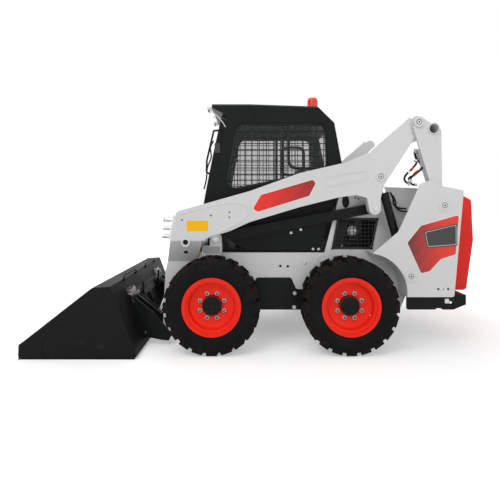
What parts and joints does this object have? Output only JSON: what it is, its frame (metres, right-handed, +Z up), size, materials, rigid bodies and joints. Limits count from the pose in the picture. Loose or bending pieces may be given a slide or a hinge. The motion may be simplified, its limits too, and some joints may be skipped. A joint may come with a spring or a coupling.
{
  "type": "skid steer loader",
  "caption": "Compact four-wheel skid steer loader with vertical-lift arms, bucket on a quick coupler, and an enclosed cab.",
  "frame": {"origin": "on the ground under the middle of the machine, halfway between the bucket edge and the tailgate", "axes": "+X forward towards the bucket, +Y to the left of the machine, +Z up"},
  "size_m": [3.6039, 1.727, 2.126],
  "materials": {
    "amber_lens": "red-orange lens",
    "black_paint": "satin black paint",
    "body_paint": "semi-gloss warm white paint",
    "bucket_paint": "satin near-black paint",
    "cast_iron": "grey casting",
    "chrome": "hard chrome",
    "dark_plastic": "textured black plastic",
    "glass": "tinted glass",
    "lamp_lens": "clear lens",
    "orange_paint": "gloss red-orange paint",
    "red_paint": "gloss red paint",
    "seat_vinyl": "black vinyl",
    "steel": "machined steel",
    "tyre": "matt rubber"
  },
  "bodies": {
    "chassis": {"chassis_frame": "body_paint", "rear_uprights": "body_paint", "belly_guards": "black_paint", "transmission_case": "black_paint", "rear_bumper": "black_paint", "axle_housings": "cast_iron", "engine_block": "cast_iron", "side_grilles": "black_paint", "cab_side_left": "black_paint", "cab_side_right": "black_paint", "cab_roof": "black_paint", "cab_rear_wall": "black_paint", "cab_floor": "black_paint", "cab_side_screens": "black_paint", "cab_glass": "glass", "seat_base": "dark_plastic", "seat": "seat_vinyl", "control_levers": "dark_plastic", "work_lights": "lamp_lens", "beacon": "amber_lens", "pivot_pins": "steel"},
    "wheel_front_left": {"tyre_front_left": "tyre", "rim_front_left": "orange_paint"},
    "wheel_front_right": {"tyre_front_right": "tyre", "rim_front_right": "orange_paint"},
    "wheel_rear_left": {"tyre_rear_left": "tyre", "rim_rear_left": "orange_paint"},
    "wheel_rear_right": {"tyre_rear_right": "tyre", "rim_rear_right": "orange_paint"},
    "rear_links": {"rear_links": "body_paint"},
    "lift_arm": {"lift_arm": "body_paint", "arm_couplers": "steel"},
    "control_link_left": {"control_link_left": "black_paint"},
    "lift_barrel_left": {"lift_barrel_left": "black_paint"},
    "lift_rod_left": {"lift_rod_left": "chrome"},
    "tilt_barrel_left": {"tilt_barrel_left": "black_paint"},
    "tilt_rod_left": {"tilt_rod_left": "chrome"},
    "control_link_right": {"control_link_right": "black_paint"},
    "lift_barrel_right": {"lift_barrel_right": "black_paint"},
    "lift_rod_right": {"lift_rod_right": "chrome"},
    "tilt_barrel_right": {"tilt_barrel_right": "black_paint"},
    "tilt_rod_right": {"tilt_rod_right": "chrome"},
    "bucket": {"quick_coupler": "black_paint", "coupler_lugs": "black_paint", "bucket": "bucket_paint", "cutting_edge": "bucket_paint"},
    "front_door": {"front_door": "black_paint", "door_glass": "glass"},
    "tailgate": {"tailgate": "red_paint"},
    "rear_hood": {"rear_hood": "body_paint"}
  },
  "joints": [
    {"name": "wheel_front_left_spin", "type": "hinge", "parent": "chassis", "child": "wheel_front_left", "pos_m": [0.358, 0.698, 0.375], "axis": [0, 1, 0], "continuous": true},
    {"name": "wheel_front_right_spin", "type": "hinge", "parent": "chassis", "child": "wheel_front_right", "pos_m": [0.358, -0.698, 0.375], "axis": [0, 1, 0], "continuous": true},
    {"name": "wheel_rear_left_spin", "type": "hinge", "parent": "chassis", "child": "wheel_rear_left", "pos_m": [-0.712, 0.698, 0.375], "axis": [0, 1, 0], "continuous": true},
    {"name": "wheel_rear_right_spin", "type": "hinge", "parent": "chassis", "child": "wheel_rear_right", "pos_m": [-0.712, -0.698, 0.375], "axis": [0, 1, 0], "continuous": true},
    {"name": "rear_link_swing", "type": "hinge", "parent": "chassis", "child": "rear_links", "pos_m": [-1.45, 0, 1.155], "axis": [0, -1, 0], "range_deg": [0, 3.46]},
    {"name": "arm_lift", "type": "hinge", "parent": "rear_links", "child": "lift_arm", "pos_m": [-1.257, 0, 1.805], "axis": [0, -1, 0], "range_deg": [0, 61.2]},
    {"name": "control_link_left_swing", "type": "hinge", "parent": "chassis", "child": "control_link_left", "pos_m": [0.341, 0.564, 0.885], "axis": [0, 1, 0], "range_deg": [0, 36.72]},
    {"name": "lift_barrel_left_swing", "type": "hinge", "parent": "chassis", "child": "lift_barrel_left", "pos_m": [-1.189, 0.652, 0.604], "axis": [0, -1, 0], "range_deg": [-1.45, 0]},
    {"name": "lift_rod_left_slide", "type": "slide", "parent": "lift_barrel_left", "child": "lift_rod_left", "axis": [0.2706, 0, 0.9627], "range_m": [0, 0.55134]},
    {"name": "tilt_barrel_left_swing", "type": "hinge", "parent": "lift_arm", "child": "tilt_barrel_left", "pos_m": [0.578, 0.4, 0.845], "axis": [0, -1, 0], "range_deg": [-3.18, 0.77]},
    {"name": "tilt_rod_left_slide", "type": "slide", "parent": "tilt_barrel_left", "child": "tilt_rod_left", "axis": [0.4123, 0, -0.911], "range_m": [-0.0695, 0.2891]},
    {"name": "control_link_right_swing", "type": "hinge", "parent": "chassis", "child": "control_link_right", "pos_m": [0.341, -0.564, 0.885], "axis": [0, 1, 0], "range_deg": [0, 36.72]},
    {"name": "lift_barrel_right_swing", "type": "hinge", "parent": "chassis", "child": "lift_barrel_right", "pos_m": [-1.189, -0.652, 0.604], "axis": [0, -1, 0], "range_deg": [-1.45, 0]},
    {"name": "lift_rod_right_slide", "type": "slide", "parent": "lift_barrel_right", "child": "lift_rod_right", "axis": [0.2706, 0, 0.9627], "range_m": [0, 0.55134]},
    {"name": "tilt_barrel_right_swing", "type": "hinge", "parent": "lift_arm", "child": "tilt_barrel_right", "pos_m": [0.578, -0.4, 0.845], "axis": [0, -1, 0], "range_deg": [-3.18, 0.77]},
    {"name": "tilt_rod_right_slide", "type": "slide", "parent": "tilt_barrel_right", "child": "tilt_rod_right", "axis": [0.4123, 0, -0.911], "range_m": [-0.0695, 0.2891]},
    {"name": "bucket_tilt", "type": "hinge", "parent": "lift_arm", "child": "bucket", "pos_m": [0.742, 0, 0.08], "axis": [0, 1, 0], "range_deg": [-25, 104]},
    {"name": "front_door_swing", "type": "hinge", "parent": "chassis", "child": "front_door", "pos_m": [0.43, -0.473, 1.2], "axis": [0.1961, 0, -0.9806], "range_deg": [0, 95]},
    {"name": "tailgate_swing", "type": "hinge", "parent": "chassis", "child": "tailgate", "pos_m": [-1.7, -0.52, 0.84], "axis": [0, 0, 1], "range_deg": [0, 100]},
    {"name": "rear_hood_lift", "type": "hinge", "parent": "chassis", "child": "rear_hood", "pos_m": [-0.712, 0, 1.258], "axis": [0, 1, 0], "range_deg": [0, 25]}
  ],
  "couplings": [
    {"joint": "rear_link_swing", "follows": "arm_lift", "ratio": 0.055434},
    {"joint": "control_link_left_swing", "follows": "arm_lift", "ratio": 0.58779},
    {"joint": "lift_barrel_left_swing", "follows": "arm_lift", "ratio": -0.023219},
    {"joint": "lift_rod_left_slide", "follows": "arm_lift", "m_per_rad": 0.50567},
    {"joint": "tilt_barrel_left_swing", "follows": "bucket_tilt", "ratio": -0.03},
    {"joint": "tilt_rod_left_slide", "follows": "bucket_tilt", "m_per_rad": 0.15615},
    {"joint": "control_link_right_swing", "follows": "arm_lift", "ratio": 0.58779},
    {"joint": "lift_barrel_right_swing", "follows": "arm_lift", "ratio": -0.023219},
    {"joint": "lift_rod_right_slide", "follows": "arm_lift", "m_per_rad": 0.50567},
    {"joint": "tilt_barrel_right_swing", "follows": "bucket_tilt", "ratio": -0.03},
    {"joint": "tilt_rod_right_slide", "follows": "bucket_tilt", "m_per_rad": 0.15615}
  ]
}
